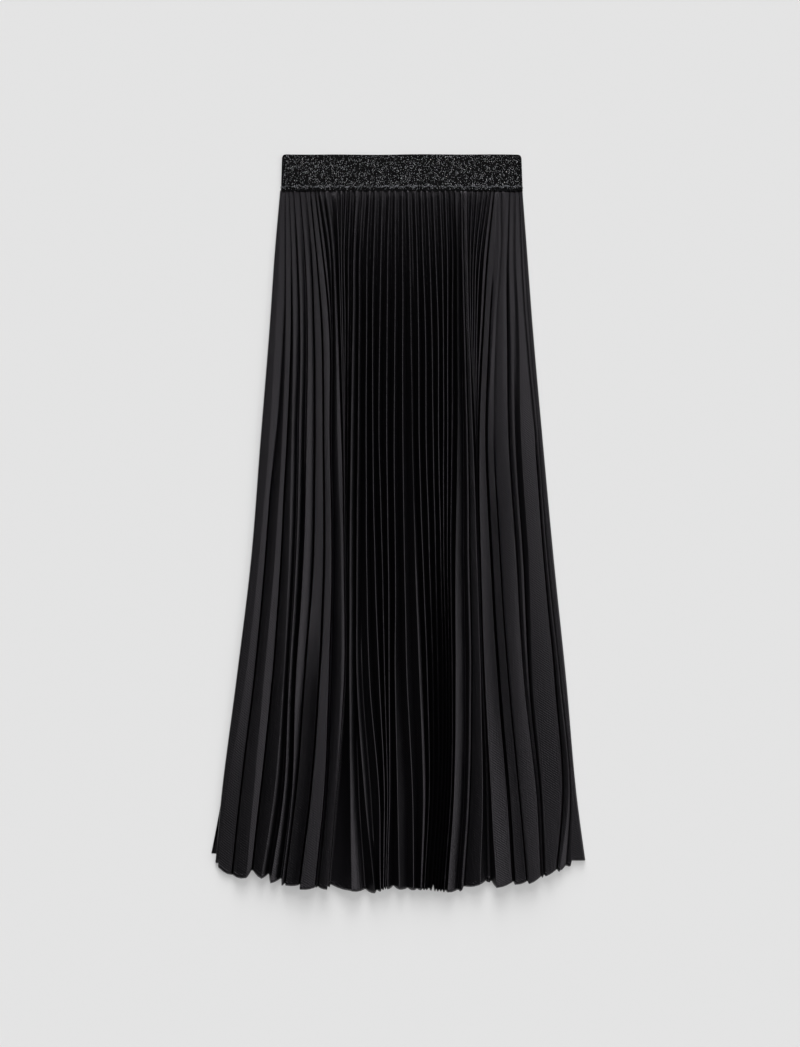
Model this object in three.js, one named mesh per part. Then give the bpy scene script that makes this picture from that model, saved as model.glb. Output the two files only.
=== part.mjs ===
// Long pleated skirt laid flat on a surface. A pleated front panel lies on a pleated back panel, and both
// hang from a wide loop of elastic. Millimetres, +Z up, +Y towards the waist, floor at z = 0.
import * as THREE from "three";

// Driving dimensions.
const SKIRT_LENGTH = 980;
const BAND_HEIGHT = 45.7;
const SEAM_GAP = 0.3;
const CLOTH_THICKNESS = 1;
const FOLD_WIDTH = 1.1;
const NARROWEST_FACET = 2;

// Levels where the fold tables place a pleat, as distances below the waist seam.
const LEVELS = { seam: 0, hip: 174, thigh: 334, knee: 494, calf: 654, shin: 814, hem: 922 };
const SECTIONS = [0, 0.05, 0.13, 0.25, 0.4, 0.57, 0.75, 0.9, 1];
const BACK_SECTIONS = [0, 0.06, 0.18, 0.38, 0.62, 0.85, 1];

// The flat skirt is thin at the waist and swells over the first hand's breadth as the pleats open. It swells
// least beside the side folds: by the side share there, and fully at the side reach and further in.
const LAYER = { seam: 2.35, hem: 8.1, reach: 150, sideShare: 0.15, sideReach: 70 };
const FRONT_PLEAT_HEIGHT = { seam: 1.2, hem: 11.6, reach: 190, sideShare: 0.45, sideReach: 90 };

// The hem hangs lowest in the middle and rises towards both sides, and each valley ends above its ridges.
const HEM = { frontEnd: 490, backEnd: 481, sideRise: 41, halfWidth: 248, curve: 3.6, valleyLift: 7 };

// Front pleats from left to right. The first seven columns give the ridge at each level. The valley to its
// right lies at a share of the way to the next ridge, and sinks by a share of the ridge height. The rise is
// the ridge height as a share of the full one.
const COLUMNS = ["seam", "hip", "thigh", "knee", "calf", "shin", "hem",
  "valleyTop", "valleyHem", "sink", "riseTop", "riseHem"];
const FRONT_PLEATS = [
  [-150, -165, -174, -188, -206, -231, -244, 0.38, 0.51, 1, 0.95, 0.75],
  [-141, -150, -157, -167, -181, -195, -206, 0.46, 0.33, 1, 1.0, 1.0],
  [-133, -144, -144, -148, -155, -168, -185, 0.70, 0.60, 1, 1.0, 1.0],
  [-125, -133, -134, -138, -147, -155, -171, 0.80, 0.85, 1, 1.0, 0.9],
  [-118, -122, -124, -128, -138, -144, -156, 0.90, 0.85, 1, 1.0, 1.0],
  [-110, -113, -112, -114, -126, -138, -151, 0.90, 0.95, 1, 0.9, 0.75],
  [-104, -105, -100, -99, -106, -118, -131, 0.48, 0.60, 1, 1.0, 1.05],
  [-93, -86, -83, -78, -79, -87, -96, 0.80, 0.85, 1, 1.0, 1.2],
  [-80, -76, -74, -72, -72, -71, -70, 0.50, 0.50, 1, 0.8, 0.1],
  [-65, -62, -65, -67, -67, -66, -65, 0.80, 0.84, 1, 1.1, 1.05],
  [-56, -54, -55, -57, -57, -46, -36, 0.50, 0.45, 1, 1.0, 1.0],
  [-48, -44, -45, -44, -40, -28, -27, 0.50, 0.50, 1, 1.0, 0.9],
  [-40, -36, -36, -33, -28, -21, -22, 0.50, 0.50, 1, 0.95, 0.95],
  [-31, -27, -28, -24, -20, -17, -19, 0.50, 0.50, 1, 0.9, 0.9],
  [-21, -17, -18, -15, -15, -13, -15, 0.50, 0.50, 1, 1.0, 0.95],
  [-6, -7, -8, -6, -6, -3, -1, 0.50, 0.60, 1, 1.0, 1.0],
  [2, 3, 3, 5, 9, 16, 17, 0.50, 0.50, 1, 1.0, 0.95],
  [11, 14, 16, 20, 26, 31, 28, 0.50, 0.50, 0.8, 0.95, 0.95],
  [20, 24, 25, 30, 36, 38, 33, 0.50, 0.50, 1, 1.0, 0.9],
  [28, 33, 34, 39, 43, 43, 38, 0.50, 0.50, 1, 0.95, 0.85],
  [36, 42, 43, 47, 50, 49, 43, 0.50, 0.50, 1, 0.9, 0.85],
  [44, 50, 51, 54, 56, 54, 48, 0.50, 0.50, 1, 0.95, 0.8],
  [53, 57, 57, 58, 61, 59, 52, 0.50, 0.50, 1, 0.9, 0.85],
  [62, 63, 63, 63, 65, 63, 56, 0.50, 0.50, 1, 0.95, 0.8],
  [69, 69, 69, 67, 69, 67, 60, 0.50, 0.50, 1, 0.95, 0.9],
  [76, 76, 76, 74, 74, 71, 64, 0.60, 0.75, 1, 0.9, 0.85],
  [82, 85, 89, 90, 92, 89, 83, 0.25, 0.20, 0.5, 0.85, 0.7],
  [90, 91, 96, 101, 106, 109, 106, 0.60, 0.65, 1, 0.95, 0.85],
  [110, 105, 105, 108, 113, 121, 127, 0.84, 0.88, 1, 1.0, 1.1],
  [119, 113, 117, 123, 133, 146, 153, 0.75, 0.82, 0.25, 0.85, 0.75],
  [129, 126, 129, 137, 147, 162, 172, 0.75, 0.85, 0.7, 0.85, 0.8],
  [139, 147, 150, 160, 169, 186, 191, 0.60, 0.50, 0.8, 0.7, 0.2],
  [147, 158, 161, 171, 176, 190, 196, 0.85, 0.88, 1, 0.9, 0.8],
  [153.5, 167, 182, 194, 211, 223.5, 211, 0.50, 0.60, 0.4, 0.8, 0.7],
  [158.3, 171.5, 185.6, 199, 215.5, 229, 227, 0.50, 0.50, 1, 0.75, 0.65],
].map(nameColumns);

// Side edges of both panels, as a place at each level. The lift shortens a side a little.
const FRONT_SIDES = {
  left: { places: [-158, -171.5, -185.5, -198.5, -218, -238.5, -249], lift: 0 },
  right: { places: [162, 175.5, 189.9, 204.8, 221.4, 235.9, 251], lift: 3 },
};
const BACK_SIDES = {
  left: { places: [-157.5, -170.5, -184.3, -197.3, -216.3, -238, -258], lift: 0 },
  right: { places: [161.5, 174.5, 188.5, 203.5, 219.5, 234, 249], lift: 0 },
};

// The back is pleated like the front. Its pleats are evenly spaced but for a slow sway in their spacing.
const BACK = { pleats: 30, sway: 0.35, drift: 1.5, valleyMiddle: 0.5, valleySwing: 0.22 };

// Flattened loop of elastic: two layers with a narrow slot between them.
const BAND = {
  left: -158,
  right: 162,
  thickness: 1.85,
  slot: 1,
  cornerInset: 1.6,
  cornerHeight: 3,
  waistIn: 1,
  waistAt: 0.4,
  edgeWave: 0.8,
  edgeWaveReach: 23,
  edgeSwellReach: 61,
  layerPoints: 9,
  turnPoints: 5,
};

const SATIN = { color: 0x161618, roughness: 0.42, metalness: 0 };
const LUREX_ELASTIC = { color: 0x1d1e20, roughness: 0.6, metalness: 0.25 };

const TOP = SKIRT_LENGTH / 2;
const BAND_BOTTOM = TOP - BAND_HEIGHT;
const SEAM_Y = BAND_BOTTOM - SEAM_GAP;
const leftFold = downTheSkirt(FRONT_SIDES.left.places);
const rightFold = downTheSkirt(FRONT_SIDES.right.places);

function nameColumns(row) {
  return Object.fromEntries(COLUMNS.map((column, index) => [column, row[index]]));
}

// A smooth line down the skirt through one value at each level.
function downTheSkirt(values) {
  const line = new THREE.CubicInterpolant(Object.values(LEVELS), values, 1, []);
  return (drop) => line.evaluate(drop)[0];
}

// Height of a layer or a pleat at one place. It grows from the seam to the hem, fast at first.
function swollen({ seam, hem, reach, sideShare, sideReach }, x, drop) {
  const inward = Math.min(x - leftFold(drop), rightFold(drop) - x) / sideReach;
  const share = THREE.MathUtils.lerp(sideShare, 1, THREE.MathUtils.smoothstep(inward, 0, 1));
  return THREE.MathUtils.lerp(seam, hem, share * (1 - Math.exp(-drop / reach)));
}

function hemDrop(x, endBelowCentre, lift) {
  const rise = HEM.sideRise * Math.min(1, Math.abs(x) / HEM.halfWidth) ** HEM.curve;
  return SEAM_Y + endBelowCentre - rise - lift;
}

// A fold is one crease: its place, height and length down the panel. Its width is 0 at a raw side edge.
function crease(place, height, end, lift, width) {
  const length = hemDrop(place(LEVELS.hem), end, lift);
  return { place, height, length, width };
}

function sideEdge({ places, lift }, heightOn, end) {
  const place = downTheSkirt(places);
  return crease(place, heightOn(place), end, lift, 0);
}

function frontCreases() {
  const clearance = (SEAM_GAP + CLOTH_THICKNESS) / 2;
  const floorOn = (place) => (drop) => swollen(LAYER, place(drop), drop) + clearance;
  const levels = Object.keys(LEVELS);
  const ridges = FRONT_PLEATS.map((pleat) => {
    const place = downTheSkirt(levels.map((level) => pleat[level]));
    const share = (drop) => THREE.MathUtils.lerp(pleat.riseTop, pleat.riseHem, drop / LEVELS.hem);
    const rise = (drop) => swollen(FRONT_PLEAT_HEIGHT, place(drop), drop) * share(drop);
    return { place, rise };
  });
  const creases = [sideEdge(FRONT_SIDES.left, floorOn, HEM.frontEnd)];
  FRONT_PLEATS.forEach((pleat, index) => {
    const { place, rise } = ridges[index];
    const height = (drop) => floorOn(place)(drop) + rise(drop);
    creases.push(crease(place, height, HEM.frontEnd, 0, FOLD_WIDTH));
    if (index === FRONT_PLEATS.length - 1) return;
    const next = ridges[index + 1];
    const share = (drop) => THREE.MathUtils.lerp(pleat.valleyTop, pleat.valleyHem, drop / LEVELS.hem);
    const valley = valleyBetween(place, next.place, share);
    const unsunk = (drop) => (1 - pleat.sink) * Math.min(rise(drop), next.rise(drop));
    const valleyHeight = (drop) => floorOn(valley)(drop) + unsunk(drop);
    creases.push(crease(valley, valleyHeight, HEM.frontEnd, HEM.valleyLift, FOLD_WIDTH));
  });
  creases.push(sideEdge(FRONT_SIDES.right, floorOn, HEM.frontEnd));
  return creases;
}

function valleyBetween(leftRidge, rightRidge, share) {
  return (drop) => {
    const left = leftRidge(drop);
    const right = rightRidge(drop);
    const valley = THREE.MathUtils.lerp(left, right, share(drop));
    return THREE.MathUtils.clamp(valley, left + NARROWEST_FACET, right - NARROWEST_FACET);
  };
}

function backCreases() {
  const left = downTheSkirt(BACK_SIDES.left.places);
  const right = downTheSkirt(BACK_SIDES.right.places);
  const floorHeight = () => CLOTH_THICKNESS / 2;
  const clearance = (SEAM_GAP + CLOTH_THICKNESS) / 2;
  const ceilingOn = (place) => (drop) => swollen(LAYER, place(drop), drop) - clearance;
  const across = (share) => (drop) => THREE.MathUtils.lerp(left(drop), right(drop), share);
  const outward = (index) => {
    const sway = BACK.sway * Math.sin(index * BACK.drift);
    return across((index + 0.5 + sway) / BACK.pleats);
  };
  const creases = [sideEdge(BACK_SIDES.left, ceilingOn, HEM.backEnd)];
  for (let index = 0; index < BACK.pleats; index += 1) {
    creases.push(crease(outward(index), floorHeight, HEM.backEnd, 0, FOLD_WIDTH));
    if (index === BACK.pleats - 1) break;
    const share = () => BACK.valleyMiddle + BACK.valleySwing * Math.cos(index * BACK.drift);
    const inner = valleyBetween(outward(index), outward(index + 1), share);
    creases.push(crease(inner, ceilingOn(inner), HEM.backEnd, HEM.valleyLift, FOLD_WIDTH));
  }
  creases.push(sideEdge(BACK_SIDES.right, ceilingOn, HEM.backEnd));
  return creases;
}

// Middle of the cloth at one section: each crease gives one point, or two where it has a width.
function sectionPoints(creases, fraction) {
  return creases.flatMap(({ place, height, length, width }) => {
    const drop = fraction * length;
    const offsets = width > 0 ? [-width / 2, width / 2] : [0];
    return offsets.map((offset) => new THREE.Vector3(place(drop) + offset, SEAM_Y - drop, height(drop)));
  });
}

// Direction square to the cloth at a point, lengthened at a crease so that both facets keep their thickness.
function squareToCloth(points, index) {
  if (index === 0 || index === points.length - 1) return new THREE.Vector3(0, 0, 1);
  const normalOf = (from, to) => new THREE.Vector3(from.z - to.z, 0, to.x - from.x).normalize();
  const before = normalOf(points[index - 1], points[index]);
  const after = normalOf(points[index], points[index + 1]);
  return before.clone().add(after).divideScalar(1 + before.dot(after));
}

// Closed wall between two grids of the same size, the upper one facing up.
function wallBetween(upper, lower) {
  const rows = upper.length;
  const columns = upper[0].length;
  const corners = [...upper.flat(), ...lower.flat()];
  const at = (layer, row, column) => (layer * rows + row) * columns + column;
  const triangles = [];
  const quad = (a, b, c, d) => triangles.push(a, b, c, a, c, d);
  for (let row = 0; row < rows - 1; row += 1) {
    for (let column = 0; column < columns - 1; column += 1) {
      quad(at(0, row, column), at(0, row + 1, column), at(0, row + 1, column + 1), at(0, row, column + 1));
      quad(at(1, row, column), at(1, row, column + 1), at(1, row + 1, column + 1), at(1, row + 1, column));
    }
    quad(at(0, row, 0), at(1, row, 0), at(1, row + 1, 0), at(0, row + 1, 0));
    const last = columns - 1;
    quad(at(0, row, last), at(0, row + 1, last), at(1, row + 1, last), at(1, row, last));
  }
  for (let column = 0; column < columns - 1; column += 1) {
    quad(at(0, 0, column), at(0, 0, column + 1), at(1, 0, column + 1), at(1, 0, column));
    const end = rows - 1;
    quad(at(0, end, column), at(1, end, column), at(1, end, column + 1), at(0, end, column + 1));
  }
  return closedGeometry(corners, triangles);
}

function closedGeometry(corners, triangles) {
  const geometry = new THREE.BufferGeometry().setFromPoints(corners);
  geometry.setIndex(triangles);
  geometry.computeVertexNormals();
  return geometry;
}

function pleatedPanel(creases, sections) {
  const middle = sections.map((fraction) => sectionPoints(creases, fraction));
  const moved = (side) => middle.map((points) => points.map((point, index) => {
    return point.clone().addScaledVector(squareToCloth(points, index), side * CLOTH_THICKNESS / 2);
  }));
  return wallBetween(moved(1), moved(-1));
}

// Outline of the flattened elastic at one height, inset from its outer face, anticlockwise from the left.
function loopPoints(left, right, inset, y) {
  const bandDepth = 2 * BAND.thickness + BAND.slot;
  const radius = bandDepth / 2 - inset;
  const centreLeft = left + bandDepth / 2;
  const centreRight = right - bandDepth / 2;
  const points = [];
  const turn = (centre, startAngle) => {
    for (let step = 1; step < BAND.turnPoints; step += 1) {
      const angle = startAngle + (Math.PI * step) / BAND.turnPoints;
      points.push([centre + radius * Math.cos(angle), radius * Math.sin(angle)]);
    }
  };
  const layer = (from, to, side) => {
    for (let step = 0; step < BAND.layerPoints; step += 1) {
      const x = THREE.MathUtils.lerp(from, to, step / (BAND.layerPoints - 1));
      points.push([x, side * radius]);
    }
  };
  layer(centreLeft, centreRight, -1);
  turn(centreRight, -Math.PI / 2);
  layer(centreRight, centreLeft, 1);
  turn(centreLeft, Math.PI / 2);
  return points.map(([x, z]) => new THREE.Vector3(x, y(x), z + bandDepth / 2));
}

function waistband() {
  const wave = (x) => BAND.edgeWave * Math.sin(x / BAND.edgeWaveReach) * Math.cos(x / BAND.edgeSwellReach);
  const stations = [
    { y: () => BAND_BOTTOM, inset: 0 },
    { y: () => BAND_BOTTOM + BAND_HEIGHT * BAND.waistAt, inset: BAND.waistIn },
    { y: () => TOP - BAND.cornerHeight, inset: 0 },
    { y: (x) => TOP + wave(x), inset: BAND.cornerInset },
  ];
  const rings = (wall) => stations.map(({ y, inset }) => {
    return loopPoints(BAND.left + inset, BAND.right - inset, wall, y);
  });
  const outer = rings(0);
  const inner = rings(BAND.thickness);
  const count = outer[0].length;
  const corners = [...outer.flat(), ...inner.flat()];
  const at = (wall, station, index) => (wall * stations.length + station) * count + (index % count);
  const triangles = [];
  const quad = (a, b, c, d) => triangles.push(a, b, c, a, c, d);
  const last = stations.length - 1;
  for (let index = 0; index < count; index += 1) {
    for (let station = 0; station < last; station += 1) {
      const next = station + 1;
      quad(at(0, station, index), at(0, next, index), at(0, next, index + 1), at(0, station, index + 1));
      quad(at(1, station, index), at(1, station, index + 1), at(1, next, index + 1), at(1, next, index));
    }
    quad(at(0, 0, index), at(0, 0, index + 1), at(1, 0, index + 1), at(1, 0, index));
    quad(at(0, last, index), at(1, last, index), at(1, last, index + 1), at(0, last, index + 1));
  }
  return closedGeometry(corners, triangles);
}

function piece(name, geometry, finish) {
  const mesh = new THREE.Mesh(geometry, new THREE.MeshStandardMaterial(finish));
  mesh.name = name;
  return mesh;
}

const skirt = new THREE.Group();
skirt.name = "pleated_skirt";
skirt.add(
  piece("skirt_front", pleatedPanel(frontCreases(), SECTIONS), SATIN),
  piece("skirt_back", pleatedPanel(backCreases(), BACK_SECTIONS), SATIN),
  piece("waistband", waistband(), LUREX_ELASTIC),
);

export default skirt;
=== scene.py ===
# Long pleated satin skirt with a wide elastic waistband, laid flat with its front up.
# Metres. +Y points to the waist, +Z up, and the floor is z = 0.
import math
import random

import bpy
import numpy as np
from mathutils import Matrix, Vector


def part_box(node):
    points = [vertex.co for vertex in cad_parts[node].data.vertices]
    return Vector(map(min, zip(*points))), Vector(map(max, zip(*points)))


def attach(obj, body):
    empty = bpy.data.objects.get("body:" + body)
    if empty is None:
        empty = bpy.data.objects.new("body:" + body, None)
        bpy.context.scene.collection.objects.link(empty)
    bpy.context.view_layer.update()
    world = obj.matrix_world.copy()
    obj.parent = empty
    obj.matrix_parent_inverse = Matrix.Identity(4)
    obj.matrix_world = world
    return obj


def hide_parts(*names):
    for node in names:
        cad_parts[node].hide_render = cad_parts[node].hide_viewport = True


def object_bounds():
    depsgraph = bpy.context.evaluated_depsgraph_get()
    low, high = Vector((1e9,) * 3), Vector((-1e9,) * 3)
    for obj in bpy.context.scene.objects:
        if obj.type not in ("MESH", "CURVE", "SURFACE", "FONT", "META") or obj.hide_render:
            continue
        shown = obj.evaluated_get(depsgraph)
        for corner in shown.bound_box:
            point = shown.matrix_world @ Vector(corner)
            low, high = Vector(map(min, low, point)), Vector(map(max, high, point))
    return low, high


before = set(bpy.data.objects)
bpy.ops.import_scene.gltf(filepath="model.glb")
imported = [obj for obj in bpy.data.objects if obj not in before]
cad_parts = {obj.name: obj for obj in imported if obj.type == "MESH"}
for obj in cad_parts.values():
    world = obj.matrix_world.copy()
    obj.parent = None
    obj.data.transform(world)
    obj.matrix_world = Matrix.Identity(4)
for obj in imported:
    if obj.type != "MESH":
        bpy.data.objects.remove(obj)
cad_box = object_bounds()
MM = 0.001


# Camera, table top and light. The camera hangs straight above the middle of the skirt with a long
# lens, and sees this many metres of the table down its long side.
VIEW_LENGTH = 1.3925
LENS, SENSOR = 100, 36
skirt_middle = (cad_box[0] + cad_box[1]) / 2

camera_data = bpy.data.cameras.new("overhead_camera")
camera_data.lens, camera_data.sensor_width = LENS, SENSOR
camera = bpy.data.objects.new("overhead_camera", camera_data)
camera.location = (0, 0, VIEW_LENGTH * LENS / SENSOR + skirt_middle.z)
bpy.context.collection.objects.link(camera)
bpy.context.scene.camera = camera
bpy.context.scene.view_settings.view_transform = "Standard"


def linear(hex_colour):
    """A colour written as sRGB hex, as the linear RGBA that a shader takes."""
    parts = [int(hex_colour[start : start + 2], 16) / 255 for start in (1, 3, 5)]
    return (*[p / 12.92 if p <= 0.04045 else ((p + 0.055) / 1.055) ** 2.4 for p in parts], 1.0)


def add_node(tree, kind, settings=(), **links):
    """Adds a node. Settings are its properties or the values of its inputs, and links feed its inputs."""
    node = tree.nodes.new(kind)
    for name, value in dict(settings).items():
        if isinstance(name, str) and hasattr(node, name):
            setattr(node, name, value)
        else:
            node.inputs[name].default_value = value
    for name, source in links.items():
        slot = int(name[1:]) if name[0] == "_" else name.replace("_", " ")
        tree.links.new(source, node.inputs[slot])
    return node


def new_material(name):
    material = bpy.data.materials.new(name)
    material.use_nodes = True
    material.node_tree.nodes.clear()
    return material, material.node_tree


# Opal acrylic light table: matt, and lit so evenly from below that the shadows on it stay soft. It is
# wide enough to fill the view from above.
TABLE_GLOW = 0.31
opal, tree = new_material("opal_acrylic")
opal_body = add_node(
    tree,
    "ShaderNodeBsdfPrincipled",
    {
        "Base Color": linear("#B9B9B9"),
        "Roughness": 0.95,
        "Specular IOR Level": 0.0,
        "Emission Color": (1, 1, 1, 1),
        "Emission Strength": TABLE_GLOW,
    },
)
add_node(tree, "ShaderNodeOutputMaterial", Surface=opal_body.outputs[0])

TABLE_HALF = 3.0
table_mesh = bpy.data.meshes.new("table_top")
corners = [(-1, -1), (1, -1), (1, 1), (-1, 1)]
table_mesh.from_pydata([(x * TABLE_HALF, y * TABLE_HALF, 0) for x, y in corners], [], [(0, 1, 2, 3)])
table_mesh.materials.append(opal)
table = bpy.data.objects.new("table_top", table_mesh)
bpy.context.collection.objects.link(table)


def add_sun(name, azimuth, elevation, width, strength):
    """A softbox far away: a sun as wide as the softbox looks from the skirt. Angles in degrees."""
    lamp = bpy.data.lights.new(name, "SUN")
    lamp.energy, lamp.angle = strength, math.radians(width)
    holder = bpy.data.objects.new(name, lamp)
    level, turn = math.cos(math.radians(elevation)), math.radians(azimuth)
    towards = Vector((level * math.cos(turn), level * math.sin(turn), math.sin(math.radians(elevation))))
    holder.rotation_euler = towards.to_track_quat("Z", "Y").to_euler()
    bpy.context.collection.objects.link(holder)


# The striplight stands low, to draw out the shadow beyond the hem.
add_sun("softbox_above_waist", azimuth=90, elevation=38, width=36, strength=2.0)
add_sun("striplight_above_waist", azimuth=90, elevation=21, width=26, strength=1.6)
add_sun("softbox_right", azimuth=0, elevation=45, width=50, strength=0.9)

# The room is bright towards the right softbox and dark on the left.
world = bpy.data.worlds.new("studio")
world.use_nodes = True
tree = world.node_tree
tree.nodes.clear()
direction = add_node(tree, "ShaderNodeTexCoord")
across = add_node(tree, "ShaderNodeSeparateXYZ", _0=direction.outputs["Generated"])
glow = add_node(
    tree,
    "ShaderNodeMapRange",
    {"From Min": -1.0, "From Max": 1.0, "To Min": 0.0, "To Max": 0.36},
    Value=across.outputs["X"],
)
sky = add_node(tree, "ShaderNodeBackground", {"Color": (1, 1, 1, 1)}, Strength=glow.outputs[0])
add_node(tree, "ShaderNodeOutputWorld", Surface=sky.outputs[0])
bpy.context.scene.world = world


# Pleated satin of the skirt. Polyester satin, woven with long floats and heat-set into accordion
# pleats, so it is nearly black where it faces the room and shines softly where it faces a light. Its
# floats and wales are really about 0.2 mm wide, and are drawn about ten times coarser so that they show.
SATIN_COLOUR = "#020203"
FLOAT_LENGTH, FLOAT_WIDTH, FLOAT_ANGLE, FLOAT_DEPTH = 2.6, 1.5, 28, 0.32
TWILL_PITCH, TWILL_ANGLE, TWILL_DEPTH = 2.6, 52, 0.19
SLUB_LENGTH, SLUB_WIDTH, SLUB_DEPTH = 38, 1.6, 0.3
WAVE_CYCLES = 20 / (2 * math.pi)  # lines that a wave texture of scale 1 draws in each unit

satin, tree = new_material("pleated_black_satin")
cloth_uv = add_node(tree, "ShaderNodeUVMap", {"uv_map": "weave"})
metres_to_floats = add_node(
    tree,
    "ShaderNodeMapping",
    {
        "Rotation": (0, 0, math.radians(FLOAT_ANGLE)),
        "Scale": (1 / (FLOAT_WIDTH * MM), 1 / (FLOAT_LENGTH * MM), 1),
    },
    Vector=cloth_uv.outputs[0],
)
floats = add_node(
    tree,
    "ShaderNodeTexNoise",
    {"Scale": 1.0, "Detail": 2, "Roughness": 0.6},
    Vector=metres_to_floats.outputs[0],
)
slubs = add_node(
    tree,
    "ShaderNodeMapping",
    {"Scale": (1 / (SLUB_WIDTH * MM), 1 / (SLUB_LENGTH * MM), 1)},
    Vector=cloth_uv.outputs[0],
)
streaks = add_node(
    tree, "ShaderNodeTexNoise", {"Scale": 1.0, "Detail": 3, "Roughness": 0.55}, Vector=slubs.outputs[0]
)
along_twill = add_node(
    tree, "ShaderNodeMapping", {"Rotation": (0, 0, math.radians(TWILL_ANGLE))}, Vector=cloth_uv.outputs[0]
)
wales = add_node(
    tree,
    "ShaderNodeTexWave",
    {"Scale": 1 / (TWILL_PITCH * MM * WAVE_CYCLES), "Distortion": 2.6, "Detail": 2, "Detail Scale": 1.8},
    Vector=along_twill.outputs[0],
)
float_bump = add_node(
    tree, "ShaderNodeBump", {"Strength": 1.0, "Distance": FLOAT_DEPTH * MM}, Height=floats.outputs["Fac"]
)
weave_bump = add_node(
    tree,
    "ShaderNodeBump",
    {"Strength": 1.0, "Distance": TWILL_DEPTH * MM},
    Height=wales.outputs["Fac"],
    Normal=float_bump.outputs[0],
)
streak_bump = add_node(
    tree,
    "ShaderNodeBump",
    {"Strength": 1.0, "Distance": SLUB_DEPTH * MM},
    Height=streaks.outputs["Fac"],
    Normal=weave_bump.outputs[0],
)
gloss = add_node(
    tree,
    "ShaderNodeMapRange",
    {"From Min": 0.3, "From Max": 0.7, "To Min": 0.30, "To Max": 0.37},
    Value=streaks.outputs["Fac"],
)
shine = add_node(
    tree,
    "ShaderNodeBsdfPrincipled",
    {
        "Base Color": linear(SATIN_COLOUR),
        "Specular IOR Level": 0.43,
        "Specular Tint": linear("#FCF5FF"),
        "Sheen Weight": 0.0,
    },
    Roughness=gloss.outputs[0],
    Normal=streak_bump.outputs[0],
)
add_node(tree, "ShaderNodeOutputMaterial", Surface=shine.outputs[0])


# Front panel. One piece of satin in accordion pleats, folded over at both side seams. Each
# pleat shows a ridge, a face that falls to the right and a face that rises to the next ridge.
# Sizes are in millimetres, and a level is a distance down from the waist seam.
LEVELS = [14, 80, 174, 334, 493, 653, 812, 908]
SEAM_GAP = 0.3
SEAM_Y = (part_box("waistband")[0].y - SEAM_GAP * MM) / MM

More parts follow.
